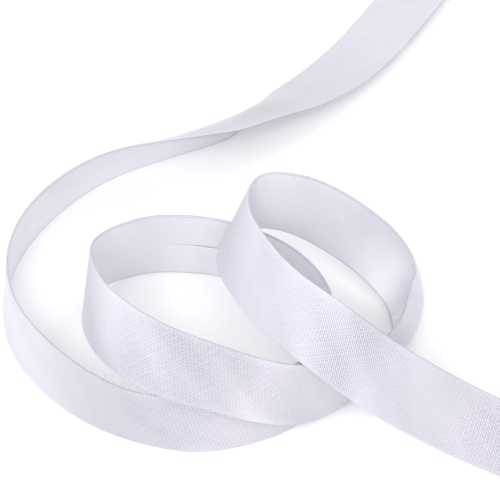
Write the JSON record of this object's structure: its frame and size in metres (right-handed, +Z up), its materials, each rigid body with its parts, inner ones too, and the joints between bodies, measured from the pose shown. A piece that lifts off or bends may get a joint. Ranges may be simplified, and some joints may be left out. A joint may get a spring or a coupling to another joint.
{
  "type": "loose curled length of folded bias tape",
  "caption": "White satin bias tape with folded edges, one loose strip standing on edge in overlapping open loops, one end twisted over to lie flat",
  "frame": {"origin": "centre of the footprint of the whole strip, on the surface that it stands on", "axes": "+Z up; -Y toward the viewer of the picture; +X to the right, toward the end that runs out at the front right"},
  "size_m": [0.1098, 0.1356, 0.0331],
  "materials": {
    "satin": "white polyester satin, soft sheen"
  },
  "bodies": {
    "root": {"tape": "satin"}
  },
  "joints": []
}
